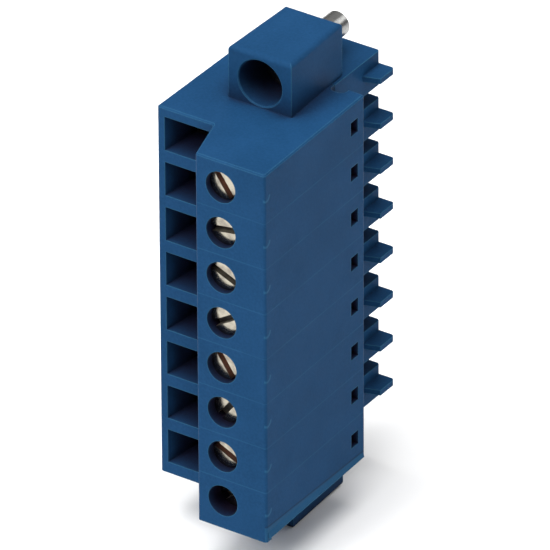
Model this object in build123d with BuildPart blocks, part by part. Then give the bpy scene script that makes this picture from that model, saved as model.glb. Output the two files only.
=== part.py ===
from build123d import *
from math import radians, tan
import os

# Pluggable terminal block with eight poles in a row, wired and screwed from its front.
# +X points to the plain side wall, the screw face looks along -Y and the plug end along +Y.
# The row runs along Z with pole 1 at the top, as the part is when it is set up on its lower flange.
# The origin is at the middle of the base of the whole part. All sizes are in millimetres.

os.makedirs("parts", exist_ok=True)

# Row of poles
poles = 8
pitch = 3.81
top_margin = 0.27
bottom_margin = 0.10

# Housing section across the row
body_width = 12.2
body_depth = 13.5
overall_depth = 19.5
screw_face_width = 5.95
step_depth = 4.1
step_run = 1.15
draft = 1.0
corner_radius = 0.22
top_chamfer = 0.12
foot_flare = 0.18
foot_height = 0.62
lip_drop = 0.35
lip_depth = 0.7

# Clamp screw bores and wire entries
bore_radius = 1.27
bore_inset = 3.8
bore_length = 4.05
entry_width = 3.86
entry_height = 2.81
entry_inset = 0.66
throat_width = 2.7
throat_height = 2.3
funnel_depth = 2.4
entry_depth = 3.1

# Cells for the contacts, one for each pole
cell_height = 3.0
left_wall = 0.6
right_wall = 1.3
cell_reach = 2.5
window_length = 0.95
window_height = 1.15
window_inset = 1.4
window_rise = 0.12

# Screw flanges
flange_height = 4.4
flange_width = 5.45
flange_rear_width = 4.9
flange_inset = 7.85
flange_depth = 7.1
flange_radius = 0.4
lock_inset = 5.56
lock_rise = 2.0
lock_bore_radius = 1.87
lock_bore_depth = 4.5
lock_bore_rim = 0.08
relief_width = 1.3
relief_depth = 0.8
relief_radius = 0.5

# Lock screws
lock_head_radius = 1.7
lock_head_height = 1.3
lock_neck_radius = 0.8
lock_thread_radius = 1.0
lock_reach = 18.3
lock_slot_width = 0.6
lock_slot_depth = 0.6
lock_point = 0.15

# Plug nose
nose_width = 5.5
plate_thickness = 0.6
base_thickness = 1.2
block_height = 2.7
block_rise = 0.6
nose_chamfer = 0.15
chamber_width = 3.0
chamber_height = 1.7
end_wall = 0.6
pin_hole = 1.3
pin_lead = 1.9
pin_lead_depth = 0.35
rib_length = 2.3
rib_proud = 1.3
rib_height = 0.45
rib_rise = 0.8
rib_radius = 0.3
rib_slant = 0.4
latch_width = 1.1
latch_thickness = 0.7
latch_length = 1.4
latch_hook = 0.5

# Clamp screws: how deep each head lies under the screw face, and the turn of its slot.
# Both lists start again from their first value when the row is longer.
head_radius = 1.2
head_height = 1.2
slot_width = 0.5
slot_depth = 0.6
shank_radius = 0.95
shank_length = 4.5
tip_radius = 0.6
tip_length = 0.8
head_depths = [0.5, 0.55, 0.5, 0.55, 0.55, 0.8, 0.65, 1.5]
slot_angles = [-55, 9, -23, 32, -56, 52, -25, 38]

# Contacts, bent from sheet
floor_sheet = 0.4
tab_sheet = 0.6
collar_width = 2.6
collar_length = 1.2
bar_sheet = 0.5
grooves = 3
groove_size = 0.18
groove_pitch = 0.72
fork_sheet = 0.35
fork_width = 1.3
fork_gap = 1.2
fork_pinch = 0.6
fork_mouth = 1.1
fork_reach = 18.5
fork_bend_share = 0.2
fork_touch_share = 0.8

# Clamp wedges. The set-back keeps each arm clear of the wall before the wires when its screw is out.
wedge_width = 4.1
wedge_block = 2.2
wedge_set_back = 0.25
wedge_arm = 2.35
wedge_thin = 1.2
wedge_taper = 0.9

# Clearances
seat_gap = 0.05
thread_gap = 0.04
turn_gap = 0.06
side_gap = 0.3

# Positions that follow from the sizes
body_height = poles * pitch + top_margin + bottom_margin
z_bottom = flange_height
z_top = z_bottom + body_height
pole_z = [z_top - top_margin - pitch * (k + 0.5) for k in range(poles)]

x_right = body_width / 2
x_left = -x_right
x_wall = x_right - foot_flare
x_step = x_wall - screw_face_width
bore_x = x_wall - bore_inset
entry_x = x_left + entry_inset + entry_width / 2
lock_x = x_wall - lock_inset

y_front = -overall_depth / 2
y_entry = y_front + step_depth
y_cell = y_front + bore_length
y_wire = y_entry + entry_depth
y_rear = y_front + body_depth
y_end = y_front + overall_depth
y_plate = y_rear - plate_thickness
y_flange = y_front + flange_inset
y_flange_rear = y_flange + flange_depth
y_shoulder = y_flange + lock_bore_depth
lean = tan(radians(draft))
x_wall_rear = x_wall - body_depth * lean
x_left_rear = x_left + (body_depth - step_depth) * lean

x_cell_left = x_left + left_wall
x_cell_right = x_wall - right_wall
x_cell_step = bore_x - cell_reach
cell_low = -cell_height / 2
floor_low = cell_low + seat_gap
floor_top = floor_low + floor_sheet
tab_top = cell_height / 2 - seat_gap


def facing_front(y):
    """A plane at depth y that looks along -Y, with X to the right and Z up."""
    return Plane.XZ.offset(-y)


# Funnels with plain sides for the wires and for the pins of the mate: two wedges that cross, each
# with its mouth at y = 0. The wire funnel narrows backwards and the pin funnel forwards.
funnels = []
for mouth, throat, depth in (
    ((entry_width, entry_height), (throat_width, throat_height), funnel_depth),
    ((pin_lead, pin_lead), (pin_hole, pin_hole), -pin_lead_depth),
):
    with BuildPart() as funnel:
        with BuildSketch(Plane.XY):
            with BuildLine():
                Polyline(
                    (-mouth[0] / 2, 0),
                    (mouth[0] / 2, 0),
                    (throat[0] / 2, depth),
                    (-throat[0] / 2, depth),
                    close=True,
                )
            make_face()
        extrude(amount=mouth[1], both=True)
        with BuildSketch(Plane.YZ):
            with BuildLine():
                Polyline(
                    (0, -mouth[1] / 2),
                    (0, mouth[1] / 2),
                    (depth, throat[1] / 2),
                    (depth, -throat[1] / 2),
                    close=True,
                )
            make_face()
        extrude(amount=mouth[0], both=True, mode=Mode.INTERSECT)
    funnels.append(funnel.part)
wire_funnel, pin_funnel = funnels

# One screw flange, standing on z = 0: a block with rounded shoulders and a stepped bore.
with BuildPart() as flange:
    with BuildSketch(Plane.XY):
        with BuildLine():
            Polyline(
                (lock_x - flange_width / 2, y_flange),
                (lock_x + flange_width / 2, y_flange),
                (lock_x + flange_rear_width / 2, y_flange_rear),
                (lock_x - flange_rear_width / 2, y_flange_rear),
                close=True,
            )
        make_face()
    extrude(amount=flange_height)
    fillet(flange.faces().sort_by(Axis.Z)[-1].edges(), flange_radius)
    with BuildSketch(facing_front(y_flange)):
        with Locations((lock_x, lock_rise)):
            Circle(lock_bore_radius)
    extrude(amount=-lock_bore_depth, mode=Mode.SUBTRACT)
    with BuildSketch(facing_front(y_shoulder)):
        with Locations((lock_x, lock_rise)):
            Circle(lock_neck_radius + turn_gap)
    extrude(amount=-flange_depth, mode=Mode.SUBTRACT)
    chamfer(flange.edges().filter_by(GeomType.CIRCLE).group_by(Axis.Y)[0], lock_bore_rim)

# Section across the row: a high screw face, a wire face set back beside it, walls with draft.
front_edge = [
    (x_left, y_entry),
    (x_step - step_run, y_entry),
    (x_step, y_front),
    (x_wall, y_front),
]
with BuildSketch() as section:
    with BuildLine():
        Polyline(*front_edge, (x_wall_rear, y_rear), (x_left_rear, y_rear), close=True)
    make_face()
    fillet(section.vertices(), corner_radius)

# The front housing is one moulding: the stepped body, the cells inside it and both flanges.
with BuildPart() as front_housing:
    with BuildSketch(Plane.XY.offset(z_bottom)):
        add(section.sketch)
    extrude(amount=body_height)
    chamfer(front_housing.faces().sort_by(Axis.Z)[-1].edges(), top_chamfer)
    with BuildSketch(facing_front(y_front)):
        with Locations(*[(bore_x, z) for z in pole_z]):
            Circle(bore_radius)
    extrude(amount=-bore_length, mode=Mode.SUBTRACT)

    # The plain wall flares out along its foot, less so towards the rear.
    for z, flare in ((z_bottom, foot_flare), (z_bottom + foot_height, -foot_flare / 4)):
        with BuildSketch(Plane.XY.offset(z)):
            with BuildLine():
                Polyline(
                    (x_wall - right_wall / 2, y_front + corner_radius),
                    (x_wall + flare, y_front + corner_radius),
                    (x_wall_rear + flare / 2, y_rear - corner_radius),
                    (x_wall - right_wall / 2, y_rear - corner_radius),
                    close=True,
                )
            make_face()
    loft()

    # A lip hangs under the front edge of the body, from the wire face to the plain wall.
    lip_back = [(x, y + lip_depth) for x, y in reversed(front_edge)]
    with BuildSketch(Plane.XY.offset(z_bottom - lip_drop)):
        add(section.sketch)
        with BuildLine():
            Polyline(*front_edge, *lip_back, close=True)
        make_face(mode=Mode.INTERSECT)
    extrude(amount=lip_drop)

    with Locations((0, 0, z_top)):
        add(flange.part)
    with Locations((0, 0, z_bottom)):
        add(mirror(flange.part, about=Plane.XY, mode=Mode.PRIVATE))

    # Relief notches beside the foot of each flange, in the rear edge of each end wall.
    for z_end, wall in ((z_top, top_margin), (z_bottom, bottom_margin)):
        end_thickness = wall + (pitch - cell_height) / 2
        with BuildSketch(Plane.XY.offset(z_end - end_thickness)):
            with Locations((lock_x + (flange_width + relief_width) / 2, y_rear)):
                RectangleRounded(relief_width, 2 * relief_depth, relief_radius)
        extrude(amount=2 * end_thickness, mode=Mode.SUBTRACT)

    # One cell for each pole, with its screw bore, wire funnel and latch window.
    for z in pole_z:
        with BuildSketch(Plane.XY.offset(z + cell_low)):
            with BuildLine():
                Polyline(
                    (x_cell_left, y_rear),
                    (x_cell_left, y_wire),
                    (x_cell_step, y_wire),
                    (x_cell_step, y_cell),
                    (x_cell_right, y_cell),
                    (x_cell_right, y_rear),
                    close=True,
                )
            make_face()
        extrude(amount=cell_height, mode=Mode.SUBTRACT)
        with Locations((entry_x, y_entry, z)):
            add(wire_funnel, mode=Mode.SUBTRACT)

    with BuildSketch(facing_front(y_entry + funnel_depth)):
        with Locations(*[(entry_x, z) for z in pole_z]):
            Rectangle(throat_width, throat_height)
    extrude(amount=funnel_depth - entry_depth, mode=Mode.SUBTRACT)
    with BuildSketch(Plane.YZ.offset(x_wall)):
        with Locations(*[(y_rear - window_inset, z + window_rise) for z in pole_z]):
            Rectangle(window_length, window_height)
    extrude(amount=-right_wall, mode=Mode.SUBTRACT)

    # Seat of the nose plate, across all the cells.
    seat_top = pole_z[0] + cell_height / 2
    seat_bottom = pole_z[-1] - cell_height / 2
    with BuildSketch(facing_front(y_plate - seat_gap)):
        with Locations(((x_cell_left + x_cell_right) / 2, (seat_top + seat_bottom) / 2)):
            Rectangle(x_cell_right - x_cell_left, seat_top - seat_bottom)
    extrude(amount=-plate_thickness - seat_gap, mode=Mode.SUBTRACT)
front_housing.part.label = "front_housing"
export_step(front_housing.part, "parts/front_housing.step")

# The plug nose closes the housing from behind. Its fingers hold the forks of the contacts.
nose_right = lock_x + nose_width / 2
nose_top = z_top - seat_gap
nose_bottom = pole_z[-1] + block_rise - block_height / 2
fork_z = [z + block_rise for z in pole_z]
with BuildPart() as plug_nose:
    with BuildSketch(facing_front(y_plate)):
        with Locations(((x_cell_left + x_cell_right) / 2, (seat_top + seat_bottom) / 2)):
            Rectangle(x_cell_right - x_cell_left - 2 * seat_gap, seat_top - seat_bottom - 2 * seat_gap)
    extrude(amount=-plate_thickness)
    with BuildSketch(Plane.XY.offset(nose_bottom)):
        with BuildLine():
            Polyline(
                (nose_right, y_rear),
                (nose_right, y_end),
                (nose_right - nose_width, y_end),
                (nose_right - nose_width, y_rear),
                close=True,
            )
        make_face()
        chamfer(vertices().group_by(Axis.Y)[-1], nose_chamfer)
    extrude(amount=nose_top - nose_bottom)

    # Slots part the fingers of neighbouring poles.
    slot_height = pitch - block_height
    with BuildSketch(facing_front(y_rear + base_thickness)):
        with Locations(*[(lock_x, z - (block_height + slot_height) / 2) for z in fork_z[:-1]]):
            Rectangle(2 * nose_width, slot_height)
    extrude(amount=base_thickness - overall_depth + body_depth, mode=Mode.SUBTRACT)

    # Each finger has a keying rib on its side and a chamber with a pin hole in its end.
    for z, z_fork in zip(pole_z, fork_z):
        rib_bottom = z + rib_rise - rib_height / 2
        with BuildSketch(Plane.XY.offset(rib_bottom)):
            with BuildLine():
                Polyline(
                    (nose_right - rib_proud, y_end - rib_length),
                    (nose_right, y_end - rib_length),
                    (nose_right + rib_proud, y_end - rib_length + rib_slant),
                    (nose_right + rib_proud, y_end),
                    (nose_right - rib_proud, y_end),
                    close=True,
                )
            make_face()
            fillet(vertices().sort_by(Axis.X)[-2:].sort_by(Axis.Y)[-1], rib_radius)
        extrude(amount=rib_height)
        with Locations((lock_x, y_end, z_fork)):
            add(pin_funnel, mode=Mode.SUBTRACT)

    fork_points = [(lock_x, z) for z in fork_z]
    with BuildSketch(facing_front(y_plate)):
        with Locations(*fork_points):
            Rectangle(chamber_width, chamber_height)
    extrude(amount=y_plate - y_end + end_wall, mode=Mode.SUBTRACT)
    with BuildSketch(facing_front(y_end - end_wall)):
        with Locations(*fork_points):
            Rectangle(pin_hole, pin_hole)
    extrude(amount=pin_lead_depth - end_wall, mode=Mode.SUBTRACT)

    # Latches reach forward into the windows of the plain wall.
    x_latch = x_cell_right - seat_gap
    window_front = y_rear - window_inset - window_length / 2 + seat_gap
    window_back = y_rear - window_inset + window_length / 2 - seat_gap
    for z in pole_z:
        with BuildSketch(Plane.XY.offset(z + window_rise - latch_width / 2 + seat_gap)):
            with BuildLine():
                Polyline(
                    (x_latch - latch_thickness, y_plate),
                    (x_latch - latch_thickness, y_plate - latch_length),
                    (x_latch, window_front),
                    (x_cell_right + latch_hook, window_back - seat_gap),
                    (x_cell_right + latch_hook, window_back),
                    (x_latch, window_back),
                    (x_latch, y_plate),
                    close=True,
                )
            make_face()
        extrude(amount=latch_width - 2 * seat_gap)
plug_nose.part.label = "plug_nose"
export_step(plug_nose.part, "parts/plug_nose.step")

# Sizes that the contacts, wedges and screws share
tab_left = x_cell_step + seat_gap
tab_right = x_cell_right - side_gap
y_tab = y_cell + seat_gap
y_collar = y_tab + tab_sheet + collar_length
y_bar = y_wire + seat_gap
y_back = y_plate - 2 * seat_gap
y_fork = y_back - bar_sheet
bar_left = x_cell_left + 2 * seat_gap
fork_tip = y_front + fork_reach
fork_bend = y_back + fork_bend_share * (fork_tip - y_back)
fork_touch = y_back + fork_touch_share * (fork_tip - y_back)
tip_start = head_height + shank_length
y_first_head = y_front + min(head_depths)

for k in range(poles):
    z = pole_z[k]

    # The contact is one bent stamping: a floor, a screw tab with a threaded collar, a wire bar and a fork.
    with BuildPart() as contact:
        with BuildSketch(Plane.XY.offset(z + floor_low)):
            with BuildLine():
                Polyline(
                    (tab_left, y_tab),
                    (tab_right, y_tab),
                    (tab_right, y_fork - latch_length),
                    (lock_x + fork_gap, y_back),
                    (bar_left, y_back),
                    (bar_left, y_bar),
                    (tab_left, y_bar),
                    close=True,
                )
            make_face()
        extrude(amount=floor_sheet)
        with BuildSketch(facing_front(y_tab)):
            with Locations(((tab_left + tab_right) / 2, z + (floor_low + tab_top) / 2)):
                Rectangle(tab_right - tab_left, tab_top - floor_low)
        extrude(amount=-tab_sheet)
        with BuildSketch(facing_front(y_tab)):
            with Locations((bore_x, z)):
                Rectangle(collar_width, collar_width)
        extrude(amount=y_tab - y_collar)
        with BuildSketch(facing_front(y_tab)):
            with Locations((bore_x, z)):
                Circle(shank_radius + thread_gap)
        extrude(amount=y_tab - y_collar, mode=Mode.SUBTRACT)
        with BuildSketch(Plane.XY.offset(z + floor_low)):
            with Locations((bar_left + bar_sheet / 2, (y_bar + y_back) / 2)):
                Rectangle(bar_sheet, y_back - y_bar)
            with Locations(*[(bar_left + bar_sheet, y_bar + groove_pitch * (n + 2)) for n in range(grooves)]):
                Rectangle(groove_size, groove_size, rotation=45, mode=Mode.SUBTRACT)
        extrude(amount=tab_top - floor_low)
        fork_top = z + block_rise + fork_width / 2
        with BuildSketch(Plane.XY.offset(z + floor_low)):
            with Locations((lock_x, y_fork + bar_sheet / 2)):
                Rectangle(fork_gap + 2 * fork_sheet, bar_sheet)
        extrude(amount=fork_top - z - floor_low)
        with BuildSketch(Plane.XY.offset(fork_top - fork_width)):
            for side in (-1, 1):
                inner = [
                    (lock_x + side * fork_gap / 2, y_fork),
                    (lock_x + side * fork_gap / 2, fork_bend),
                    (lock_x + side * fork_pinch / 2, fork_touch),
                    (lock_x + side * fork_mouth / 2, fork_tip),
                ]
                outer = [(x + side * fork_sheet, y) for x, y in reversed(inner)]
                with BuildLine():
                    Polyline(*inner, *outer, close=True)
                make_face()
        extrude(amount=fork_width)
    contact.part.label = f"contact_{k + 1}"
    export_step(contact.part, f"parts/contact_{k + 1}.step")

    # The wedge slides on the contact's floor and squeezes the wire against the bar.
    y_head = y_front + head_depths[k % len(head_depths)]
    y_wedge = y_head + tip_start
    y_arm = y_wire + wedge_set_back + y_head - y_first_head
    with BuildPart() as clamp_wedge:
        with BuildSketch(Plane.XY.offset(z + floor_top + seat_gap)):
            wedge_right = bore_x + wedge_width / 2
            wedge_left = bore_x - wedge_width / 2
            with BuildLine():
                Polyline(
                    (wedge_right, y_wedge),
                    (wedge_right, y_wedge + wedge_block),
                    (wedge_left, y_arm + wedge_arm),
                    (wedge_left - wedge_thin, y_arm + wedge_arm),
                    (wedge_left - wedge_thin - wedge_taper, y_arm),
                    (wedge_left, y_arm),
                    (wedge_left, y_wedge),
                    close=True,
                )
            make_face()
        extrude(amount=tab_top - floor_top - 2 * seat_gap)
        with BuildSketch(facing_front(y_wedge)):
            with Locations((bore_x, z)):
                Circle(tip_radius + thread_gap)
        extrude(amount=-tip_length - seat_gap, mode=Mode.SUBTRACT)
    clamp_wedge.part.label = f"clamp_wedge_{k + 1}"
    export_step(clamp_wedge.part, f"parts/clamp_wedge_{k + 1}.step")

    # The clamp screw is turned: a slotted head, a threaded shank and a plain tip held in the wedge.
    with BuildPart() as clamp_screw:
        with BuildSketch(facing_front(y_head)):
            with Locations((bore_x, z)):
                Circle(head_radius)
        extrude(amount=-head_height)
        with BuildSketch(facing_front(y_head + head_height)):
            with Locations((bore_x, z)):
                Circle(shank_radius)
        extrude(amount=-shank_length)
        with BuildSketch(facing_front(y_wedge)):
            with Locations((bore_x, z)):
                Circle(tip_radius)
        extrude(amount=-tip_length)
        with BuildSketch(facing_front(y_head)):
            with Locations((bore_x, z)):
                Rectangle(3 * head_radius, slot_width, rotation=slot_angles[k % len(slot_angles)])
        extrude(amount=-slot_depth, mode=Mode.SUBTRACT)
    clamp_screw.part.label = f"clamp_screw_{k + 1}"
    export_step(clamp_screw.part, f"parts/clamp_screw_{k + 1}.step")

# Lock screws hold the plug to its mate, one through each flange. The thin neck keeps them captive in it.
for name, z_lock in (("lock_screw_top", z_top + lock_rise), ("lock_screw_bottom", z_bottom - lock_rise)):
    y_lock = y_shoulder - seat_gap - lock_head_height
    with BuildPart() as lock_screw:
        with BuildSketch(facing_front(y_lock)):
            with Locations((lock_x, z_lock)):
                Circle(lock_head_radius)
        extrude(amount=-lock_head_height)
        for radius, y_start, y_stop in (
            (lock_neck_radius, y_lock + lock_head_height, y_flange_rear + seat_gap),
            (lock_thread_radius, y_flange_rear + seat_gap, y_front + lock_reach),
        ):
            with BuildSketch(facing_front(y_start)):
                with Locations((lock_x, z_lock)):
                    Circle(radius)
            extrude(amount=y_start - y_stop)
        chamfer(lock_screw.edges().sort_by(Axis.Y)[-1], lock_point)
        with BuildSketch(facing_front(y_lock)):
            with Locations((lock_x, z_lock)):
                Rectangle(3 * lock_head_radius, lock_slot_width)
        extrude(amount=-lock_slot_depth, mode=Mode.SUBTRACT)
    lock_screw.part.label = name
    export_step(lock_screw.part, f"parts/{name}.step")
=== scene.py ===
import math

import bpy
from mathutils import Matrix, Vector


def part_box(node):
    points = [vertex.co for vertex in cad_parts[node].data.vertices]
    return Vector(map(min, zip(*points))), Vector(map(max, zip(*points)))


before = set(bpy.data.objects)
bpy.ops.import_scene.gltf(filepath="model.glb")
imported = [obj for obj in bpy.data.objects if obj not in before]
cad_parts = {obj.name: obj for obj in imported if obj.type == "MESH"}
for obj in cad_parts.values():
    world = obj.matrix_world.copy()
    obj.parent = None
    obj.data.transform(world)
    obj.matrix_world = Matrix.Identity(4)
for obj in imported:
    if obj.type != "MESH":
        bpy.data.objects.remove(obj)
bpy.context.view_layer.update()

# Looks of a blue pluggable terminal block that is set up on its lower screw flange.
# All lengths are in metres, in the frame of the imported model: the row of poles runs along Z,
# the screw face looks along -Y and the plain side wall along +X.

MM = 0.001

# Row of poles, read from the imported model
POLES = sum(name.startswith("clamp_screw_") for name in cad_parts)
screw_boxes = [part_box(f"clamp_screw_{k + 1}") for k in range(POLES)]
pole_heights = [(low.z + high.z) / 2 for low, high in screw_boxes]
PITCH = (pole_heights[0] - pole_heights[-1]) / (POLES - 1)
SCREW_AXIS = (screw_boxes[0][0].x + screw_boxes[0][1].x) / 2
housing_low, housing_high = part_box("front_housing")
SCREW_FACE = housing_low.y
SIDE_WALL = housing_high.x
WIRE_SIDE = housing_low.x

# How far in from the housing's box its faces still count: the plain wall leans, the others don't
WALL_BAND = 0.6 * MM
FACE_BAND = 0.05 * MM

# Fine marks on the housing: a mould line between neighbouring poles, lightened by a painted
# highlight that varies in patches, and a small arc beside each screw, a painted highlight that
# stands for the lit lip of a small recess
LINE_WIDTH = 0.07 * MM
LINE_SHARE = 0.55
HIGHLIGHT_PATCH_SIZE = 2.5 * MM
HIGHLIGHT_PATCH_SHARE = 1.2
ARC_WIDTH = 0.15 * MM
ARC_RADIUS = 0.42 * MM
ARC_SET_BACK = 0.22 * MM
ARC_RISE = 0.34 * MM
ARC_SHARE = 0.8
MARK_HEIGHT = 0.02 * MM
MARK_STRENGTH = 0.5

# Flared band along the foot of the plain wall, lightened by a painted highlight where the flare
# faces up: its upper end at the screw face, how it falls towards the rear for each unit of length,
# and the dark line over it, painted shade in the crease
BAND_TOP = 5.36 * MM
BAND_FALL = 0.036
BAND_LINE = 0.13 * MM
BAND_SHARE = 0.35
SHADE_LINE_SHARE = 0.5

# Surface of the plastic: wide clouds and fine speckles of colour, patches of gloss, and a grain
CLOUD_SIZE = 3.5 * MM
SPECKLE_SIZE = 0.2 * MM
GLOSS_SIZE = 1.2 * MM
PLASTIC_ROUGHNESS = 0.42
ROUGHNESS_LESS = 0.04
ROUGHNESS_MORE = 0.08
PLASTIC_SPECULAR = 0.018
GRAIN_SIZE = 0.09 * MM
GRAIN_DEPTH = 0.010 * MM
GRAIN_STRENGTH = 0.5

# Edges of the plastic: the radius to which they look softened, the cosines of the lean of the
# softened normal between which the painted highlight on them goes from none to full, and the
# openness that tells an outer edge from an inner corner
EDGE_RADIUS = 0.11 * MM
LEAN_NONE = 0.995
LEAN_FULL = 0.92
EDGE_REACH = 0.25 * MM
EDGE_OPEN = (0.80, 0.95)

# Hollows get painted shade, darker with depth: how far around a point is looked at, and the
# openness from which a surface starts to take its own colour and at which it has it in full
HOLLOW_REACH = 3.5 * MM
HOUSING_OPEN = (0.25, 0.82)
NOSE_OPEN = (0.05, 0.60)
METAL_OPEN = (0.10, 0.80)

# Surface of the metals: dull patches and fine scratches
DULL_SIZE = 0.6 * MM
DULL_RAMP = (0.35, 0.60)
SCRATCH_SIZE = 0.05 * MM
SCRATCH_DEPTH = 0.002 * MM
SCRATCH_STRENGTH = 0.4

# Clamp screws: the heads look slightly domed, by this rise at a millimetre from the axis. The
# slots are found by how little is open around them, and their floors also by which way they face.
DOME_RISE = 0.085 * MM
SLOT_REACH = 0.7 * MM
SLOT_OPEN = (0.55, 0.90)
SLOT_FACING = -0.5
SLOT_ROUGHER = 0.4

# The clamp screws, counted from the top, whose slots hold brown dirt over painted shade. The
# others' slot floors get painted shade, nearly black.
BROWN_SLOTS = (1, 5, 7)
DIRT_SIZE = 0.5 * MM
DIRT_RAMP = (0.2, 0.5)
STAIN_SHARE = 0.85

# Camera: the side that it sees, how it leans, how far it stands from the middle of the row, and
# how far to the side and up it is moved from there to frame the part as in the photograph
CAMERA_AZIMUTH = math.radians(33.51)
CAMERA_ELEVATION = math.radians(31.514)
CAMERA_ROLL = math.radians(-0.306)
CAMERA_DISTANCE = 0.9
CAMERA_LENS = 807.93
SENSOR_WIDTH = 36.0
MIDDLE = Vector((0, 0, 20 * MM))
AIM_RIGHT = 0.266 * MM
AIM_UP = -0.014 * MM

# Softboxes: name, azimuth from the screw face towards the plain wall and elevation in degrees,
# distance and size in metres, and power in watts
SOFTBOXES = (
    ("key", -20, 40, 0.60, 0.25, 2.1),
    ("top", 10, 78, 0.60, 0.50, 4.6),
    ("fill", 115, 15, 0.80, 0.50, 0.20),
    ("back", 147, 36, 0.60, 0.28, 0.5),
)

# Light from all around: at the horizon, overhead, and the height from which it is full
HORIZON_LIGHT = 0.16
ZENITH_LIGHT = 0.52
ZENITH_FROM = 0.8

# Floor: half of its width, and the size of its slight clouds
FLOOR_HALF = 3.0
FLOOR_CLOUDS = 0.05
FLOOR_ROUGHNESS = 0.9
FLOOR_SPECULAR = 0.1

# Colours, as linear values
BLUE_LIGHT = (0.0108, 0.0505, 0.1270, 1)
BLUE_DARK = (0.0080, 0.0405, 0.1020, 1)
# Painted highlight on the lines between poles, the arcs and the foot band
BLUE_HIGHLIGHT = (0.0240, 0.1000, 0.1900, 1)
# Painted highlight on the outer edges
BLUE_EDGE_HIGHLIGHT = (0.0280, 0.1080, 0.1900, 1)
# Painted shade in the hollows and on the line over the foot band
BLUE_SHADE = (0.0085, 0.0050, 0.0130, 1)
FLOOR_LIGHT = (0.93, 0.93, 0.93, 1)
FLOOR_DARK = (0.91, 0.91, 0.91, 1)
ZINC = (0.40, 0.37, 0.30, 1)
ZINC_DULL = (0.25, 0.225, 0.19, 1)
SLOT_BROWN = (0.36, 0.205, 0.15, 1)
# Painted shade on the slot floors and on metal deep inside
METAL_SHADE = (0.025, 0.02, 0.018, 1)
STEEL = (0.33, 0.33, 0.32, 1)
STEEL_DULL = (0.25, 0.25, 0.25, 1)
TIN = (0.45, 0.43, 0.40, 1)
TIN_DULL = (0.28, 0.26, 0.24, 1)

# Sockets of a Mix node that is set to colours
MIX_FACTOR, MIX_FIRST, MIX_SECOND, MIX_RESULT = 0, 6, 7, 2


def new_material(name, roughness, metallic=0.0, specular=0.5):
    """A material with nodes, and its shader."""
    made = bpy.data.materials.new(name)
    made.use_nodes = True
    shader = made.node_tree.nodes["Principled BSDF"]
    shader.inputs["Roughness"].default_value = roughness
    shader.inputs["Metallic"].default_value = metallic
    shader.inputs["Specular IOR Level"].default_value = specular
    return made, shader


def feed(tree, socket, value):
    """Links the input to a socket that is given, or sets it to a value."""
    if isinstance(value, bpy.types.NodeSocket):
        tree.links.new(value, socket)
    else:
        socket.default_value = value


def node(tree, kind, settings=None, **inputs):
    """A new shader node with its settings and inputs."""
    made = tree.nodes.new(kind)
    for key, value in (settings or {}).items():
        setattr(made, key, value)
    for key, value in inputs.items():
        feed(tree, made.inputs[key.replace("_", " ")], value)
    return made


def maths(tree, operation, *values):
    """The result of a math node on one or more values or sockets."""
    made = node(tree, "ShaderNodeMath", {"operation": operation})
    for socket, value in zip(made.inputs, values):
        feed(tree, socket, value)
    return made.outputs[0]


def add(tree, first, second):
    return maths(tree, "ADD", first, second)


def subtract(tree, first, second):
    return maths(tree, "SUBTRACT", first, second)


def multiply(tree, first, second):
    return maths(tree, "MULTIPLY", first, second)


def divide(tree, first, second):
    return maths(tree, "DIVIDE", first, second)


def greatest(tree, first, second):
    return maths(tree, "MAXIMUM", first, second)


def noise(tree, place, size, detail=2.0):
    """Noise from 0 to 1 whose features are about as wide as size."""
    made = node(tree, "ShaderNodeTexNoise", Vector=place, Scale=1 / size, Detail=detail)
    return made.outputs[0]


def ramp(tree, factor, low_colour, high_colour, low=0.35, high=0.65):
    """A colour that goes from one to the other as the factor goes from low to high."""
    made = node(tree, "ShaderNodeValToRGB", Fac=factor)
    for element, position, colour in zip(
        made.color_ramp.elements, (low, high), (low_colour, high_colour)
    ):
        element.position = position
        element.color = colour
    return made.outputs["Color"]


def mix(tree, factor, first, second):
    """A colour between the first, at factor 0, and the second, at factor 1."""
    made = node(tree, "ShaderNodeMix", {"data_type": "RGBA"})
    feed(tree, made.inputs[MIX_FACTOR], factor)
    feed(tree, made.inputs[MIX_FIRST], first)
    feed(tree, made.inputs[MIX_SECOND], second)
    return made.outputs[MIX_RESULT]


def bump(tree, height, depth, under=None, strength=1.0):
    """A bump of that depth, in metres, over the normal that is given."""
    made = node(tree, "ShaderNodeBump", Height=height, Distance=depth, Strength=strength)
    if under is not None:
        tree.links.new(under, made.inputs["Normal"])
    return made.outputs["Normal"]


def stretch(tree, value, low, high):
    """0 where the value is at low, up to 1 where it is at high."""
    made = node(tree, "ShaderNodeMapRange", Value=value, From_Min=low, From_Max=high)
    return made.outputs["Result"]


def line_at(tree, distance, width):
    """1 where the distance is 0, and less to either side, down to 0 at the width."""
    return greatest(tree, subtract(tree, 1.0, divide(tree, distance, width)), 0.0)


def pole_number(tree, z):
    """0 at the top of the first pole, 1 at the top of the second, and so on."""
    return divide(tree, subtract(tree, pole_heights[0] + PITCH / 2, z), PITCH)


def above_screw(tree, pole):
    """The height over the axis of the nearest clamp screw."""
    return multiply(tree, subtract(tree, 0.5, maths(tree, "FRACT", pole)), PITCH)


def sum_of_squares(tree, first, second):
    return add(tree, multiply(tree, first, first), multiply(tree, second, second))


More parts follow.
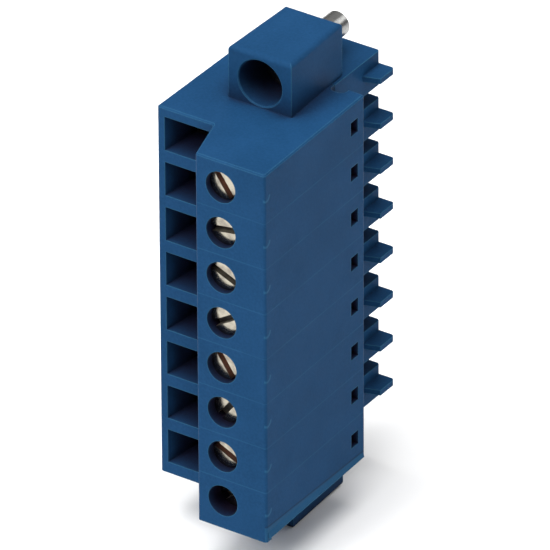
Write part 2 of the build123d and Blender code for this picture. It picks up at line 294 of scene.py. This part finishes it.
def painted_marks(tree, place):
    """The masks of the painted highlights and of the painted shade line on the screw face and the
    side walls.
    """
    x, y, z = node(tree, "ShaderNodeSeparateXYZ", Vector=place).outputs
    on_wall = maths(tree, "GREATER_THAN", x, SIDE_WALL - WALL_BAND)
    on_face = maths(tree, "LESS_THAN", y, SCREW_FACE + FACE_BAND)
    on_wire_side = maths(tree, "LESS_THAN", x, WIRE_SIDE + FACE_BAND)
    outside = greatest(tree, greatest(tree, on_wall, on_wire_side), on_face)
    behind_face = maths(tree, "GREATER_THAN", y, SCREW_FACE + FACE_BAND / 4)

    # Painted highlight along the mould lines between the poles, but none over the first or under
    # the last
    pole = pole_number(tree, z)
    off_middle = maths(tree, "ABSOLUTE", subtract(tree, pole, POLES / 2))
    within = maths(tree, "LESS_THAN", off_middle, POLES / 2 - 0.5)
    gap = multiply(tree, maths(tree, "PINGPONG", pole, 0.5), PITCH)
    lines = multiply(tree, line_at(tree, gap, LINE_WIDTH), multiply(tree, within, outside))
    # Patches where the painted highlight on the lines is stronger
    lines = multiply(tree, lines, multiply(tree, noise(tree, place, HIGHLIGHT_PATCH_SIZE), HIGHLIGHT_PATCH_SHARE))

    # Painted highlight on the lower half of a ring beside each screw, on the plain wall, for the
    # lit lip of a small recess
    rise = subtract(tree, above_screw(tree, pole), ARC_RISE)
    back = subtract(tree, y, SCREW_FACE + ARC_SET_BACK)
    radius = maths(tree, "SQRT", sum_of_squares(tree, rise, back))
    off_ring = maths(tree, "ABSOLUTE", subtract(tree, radius, ARC_RADIUS))
    lower_half = multiply(tree, maths(tree, "LESS_THAN", rise, 0.0), behind_face)
    arcs = multiply(tree, line_at(tree, off_ring, ARC_WIDTH), lower_half)
    arcs = multiply(tree, arcs, on_wall)

    # Painted light on the band along the foot of the plain wall, where its flare faces up, and
    # painted shade on the line over it
    fall = multiply(tree, subtract(tree, y, SCREW_FACE), BAND_FALL)
    level = subtract(tree, add(tree, z, fall), BAND_TOP)
    beside = multiply(tree, on_wall, behind_face)
    band = multiply(tree, maths(tree, "LESS_THAN", level, 0.0), beside)
    dark = multiply(tree, line_at(tree, maths(tree, "ABSOLUTE", level), BAND_LINE), beside)

    light = greatest(
        tree, multiply(tree, lines, LINE_SHARE), multiply(tree, arcs, ARC_SHARE)
    )
    light = greatest(tree, light, multiply(tree, band, BAND_SHARE))
    return light, multiply(tree, dark, SHADE_LINE_SHARE)


def openness(tree, reach, span, alone=True):
    """0 where what is around a point shuts out its light, up to 1 where it is clear.

    The span gives the two shares of open sky that stand for 0 and 1. With alone, a piece is
    shaded by itself only, and otherwise by its neighbours too.
    """
    settings = {"only_local": alone, "samples": 6}
    sky = node(tree, "ShaderNodeAmbientOcclusion", settings, Distance=reach)
    return stretch(tree, sky.outputs["AO"], *span)


def painted_edge_highlight(tree, rounded):
    """The mask of the painted highlight on the outer edges, found from how far the rounded normal
    leans off the flat one.
    """
    flat = node(tree, "ShaderNodeNewGeometry").outputs["Normal"]
    lean = node(tree, "ShaderNodeVectorMath", {"operation": "DOT_PRODUCT"})
    tree.links.new(rounded, lean.inputs[0])
    tree.links.new(flat, lean.inputs[1])
    edge = stretch(tree, lean.outputs["Value"], LEAN_NONE, LEAN_FULL)
    return multiply(tree, edge, openness(tree, EDGE_REACH, EDGE_OPEN))


def plastic(name, open_span, marked):
    """Blue moulded plastic: satin, with a fine eroded grain, slight flow clouds, a painted
    highlight on its outer edges, painted shade in its hollows, and the painted marks if asked.
    """
    made, shader = new_material(name, PLASTIC_ROUGHNESS, specular=PLASTIC_SPECULAR)
    tree = made.node_tree
    place = node(tree, "ShaderNodeTexCoord").outputs["Object"]
    clouds = add(tree, noise(tree, place, CLOUD_SIZE, 3.0), noise(tree, place, SPECKLE_SIZE))
    colour = ramp(tree, multiply(tree, clouds, 0.5), BLUE_DARK, BLUE_LIGHT)
    roughness = node(
        tree,
        "ShaderNodeMapRange",
        Value=noise(tree, place, GLOSS_SIZE),
        To_Min=PLASTIC_ROUGHNESS - ROUGHNESS_LESS,
        To_Max=PLASTIC_ROUGHNESS + ROUGHNESS_MORE,
    )
    tree.links.new(roughness.outputs["Result"], shader.inputs["Roughness"])
    normal = node(tree, "ShaderNodeBevel", {"samples": 6}, Radius=EDGE_RADIUS).outputs["Normal"]
    # Painted highlight on the outer edges
    colour = mix(tree, painted_edge_highlight(tree, normal), colour, BLUE_EDGE_HIGHLIGHT)
    if marked:
        # Painted highlights of the marks, and the painted shade line over the foot band
        light, dark = painted_marks(tree, place)
        colour = mix(tree, dark, mix(tree, light, colour, BLUE_HIGHLIGHT), BLUE_SHADE)
        normal = bump(tree, subtract(tree, light, dark), MARK_HEIGHT, normal, MARK_STRENGTH)
    # Painted shade in the hollows, also where neighbours and the floor shut out light
    open_sky = openness(tree, HOLLOW_REACH, open_span, alone=False)
    tree.links.new(mix(tree, open_sky, BLUE_SHADE, colour), shader.inputs["Base Color"])
    normal = bump(tree, noise(tree, place, GRAIN_SIZE), GRAIN_DEPTH, normal, GRAIN_STRENGTH)
    tree.links.new(normal, shader.inputs["Normal"])
    return made


def slot_dirt_and_shade(tree, place, pole, shut, slot_floor, colour):
    """The colour of a screw's head: painted shade on the floor of its slot, with brown dirt patches
    over it and brown stains on the walls in the slots that hold dirt.
    """
    brown = 0.0
    for number in BROWN_SLOTS:
        brown = greatest(tree, brown, maths(tree, "COMPARE", pole, number - 0.5, 0.5))
    # Slot floors: painted shade, with brown dirt patches over it in the slots that hold dirt
    patches = ramp(tree, noise(tree, place, DIRT_SIZE), METAL_SHADE, SLOT_BROWN, *DIRT_RAMP)
    colour = mix(tree, slot_floor, colour, mix(tree, brown, METAL_SHADE, patches))
    stain = multiply(tree, multiply(tree, shut, brown), STAIN_SHARE)
    return mix(tree, stain, colour, SLOT_BROWN)


def metal(name, bright, dull, roughness, screw_head=False, inside=False):
    """Plated metal with dull patches and fine scratches.

    A screw's head looks domed and has brown dirt and painted shade in its slot. Metal inside gets
    painted shade, darker with depth.
    """
    made, shader = new_material(name, roughness, 1.0)
    tree = made.node_tree
    place = node(tree, "ShaderNodeTexCoord").outputs["Object"]
    colour = ramp(tree, noise(tree, place, DULL_SIZE, 3.0), dull, bright, *DULL_RAMP)
    scratches = noise(tree, place, SCRATCH_SIZE, 3.0)
    normal = bump(tree, scratches, SCRATCH_DEPTH, strength=SCRATCH_STRENGTH)
    if screw_head:
        x, y, z = node(tree, "ShaderNodeSeparateXYZ", Vector=place).outputs
        pole = pole_number(tree, z)
        flat = node(tree, "ShaderNodeNewGeometry").outputs["Normal"]
        facing = node(tree, "ShaderNodeSeparateXYZ", Vector=flat).outputs["Y"]
        shut = subtract(tree, 1.0, openness(tree, SLOT_REACH, SLOT_OPEN))
        slot_floor = multiply(tree, shut, maths(tree, "LESS_THAN", facing, SLOT_FACING))
        colour = slot_dirt_and_shade(tree, place, pole, shut, slot_floor, colour)
        tree.links.new(subtract(tree, 1.0, slot_floor), shader.inputs["Metallic"])
        rougher = multiply(tree, shut, SLOT_ROUGHER)
        tree.links.new(add(tree, rougher, roughness), shader.inputs["Roughness"])
        across = divide(tree, subtract(tree, x, SCREW_AXIS), MM)
        up = divide(tree, above_screw(tree, pole), MM)
        dome = multiply(tree, sum_of_squares(tree, across, up), -1.0)
        normal = bump(tree, dome, DOME_RISE, normal)
    if inside:
        # Painted shade, darker deeper inside
        open_sky = openness(tree, HOLLOW_REACH, METAL_OPEN, alone=False)
        colour = mix(tree, open_sky, METAL_SHADE, colour)
    tree.links.new(colour, shader.inputs["Base Color"])
    tree.links.new(normal, shader.inputs["Normal"])
    return made


def dress(names, material):
    """Gives each named node of the model that one material."""
    for name in names:
        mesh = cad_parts[name].data
        mesh.materials.clear()
        mesh.materials.append(material)


housing_plastic = plastic("housing_plastic_look", HOUSING_OPEN, marked=True)
nose_plastic = plastic("nose_plastic_look", NOSE_OPEN, marked=False)
clamp_steel = metal("clamp_screw_look", ZINC, ZINC_DULL, 0.20, screw_head=True)
lock_steel = metal("lock_screw_look", STEEL, STEEL_DULL, 0.26)
tinned = metal("contact_look", TIN, TIN_DULL, 0.38, inside=True)

poles = range(1, POLES + 1)
dress(["front_housing"], housing_plastic)
dress(["plug_nose"], nose_plastic)
dress([f"contact_{k}" for k in poles], tinned)
dress([f"clamp_wedge_{k}" for k in poles], tinned)
dress([f"clamp_screw_{k}" for k in poles], clamp_steel)
dress(["lock_screw_top", "lock_screw_bottom"], lock_steel)


def make_floor():
    """A plain pale floor under the part."""
    mesh = bpy.data.meshes.new("floor")
    half = FLOOR_HALF
    corners = [(-half, -half, 0), (half, -half, 0), (half, half, 0), (-half, half, 0)]
    mesh.from_pydata(corners, [], [(0, 1, 2, 3)])
    floor = bpy.data.objects.new("floor", mesh)
    bpy.context.scene.collection.objects.link(floor)
    made, shader = new_material("floor_look", FLOOR_ROUGHNESS, specular=FLOOR_SPECULAR)
    tree = made.node_tree
    place = node(tree, "ShaderNodeTexCoord").outputs["Object"]
    colour = ramp(tree, noise(tree, place, FLOOR_CLOUDS), FLOOR_DARK, FLOOR_LIGHT)
    tree.links.new(colour, shader.inputs["Base Color"])
    mesh.materials.append(made)


def direction(azimuth, elevation):
    """The unit vector from the part towards that side and height, given in radians."""
    level = math.cos(elevation)
    return Vector((math.sin(azimuth) * level, -math.cos(azimuth) * level, math.sin(elevation)))


def add_softbox(name, azimuth, elevation, distance, size, power):
    """A square area light that looks at the middle of the part from that side and height."""
    towards = direction(math.radians(azimuth), math.radians(elevation))
    light = bpy.data.lights.new(name, "AREA")
    light.size = size
    light.energy = power
    lamp = bpy.data.objects.new(name, light)
    lamp.location = MIDDLE + distance * towards
    lamp.rotation_euler = towards.to_track_quat("Z", "Y").to_euler()
    bpy.context.scene.collection.objects.link(lamp)


def add_world():
    """Soft white light from all around, dimmer towards the horizon."""
    world = bpy.data.worlds.new("studio")
    world.use_nodes = True
    tree = world.node_tree
    outwards = node(tree, "ShaderNodeTexCoord").outputs["Generated"]
    height = node(tree, "ShaderNodeSeparateXYZ", Vector=outwards).outputs["Z"]
    horizon, zenith = [(light, light, light, 1) for light in (HORIZON_LIGHT, ZENITH_LIGHT)]
    sky = ramp(tree, height, horizon, zenith, 0.0, ZENITH_FROM)
    tree.links.new(sky, tree.nodes["Background"].inputs["Color"])
    bpy.context.scene.world = world


def add_camera():
    """The camera, at the photograph's angle."""
    back = direction(CAMERA_AZIMUTH, CAMERA_ELEVATION)
    right = Vector((math.cos(CAMERA_AZIMUTH), math.sin(CAMERA_AZIMUTH), 0))
    up = back.cross(right)
    turn = Matrix.Rotation(CAMERA_ROLL, 4, back)
    right, up = turn @ right, turn @ up
    data = bpy.data.cameras.new("camera")
    data.sensor_width = SENSOR_WIDTH
    data.lens = CAMERA_LENS
    camera = bpy.data.objects.new("camera", data)
    place = MIDDLE + AIM_RIGHT * right + AIM_UP * up + CAMERA_DISTANCE * back
    axes = Matrix((right, up, back)).transposed().to_4x4()
    camera.matrix_world = Matrix.Translation(place) @ axes
    bpy.context.scene.collection.objects.link(camera)
    bpy.context.scene.camera = camera


make_floor()
add_world()
for softbox in SOFTBOXES:
    add_softbox(*softbox)
add_camera()
bpy.context.scene.view_settings.view_transform = "Standard"
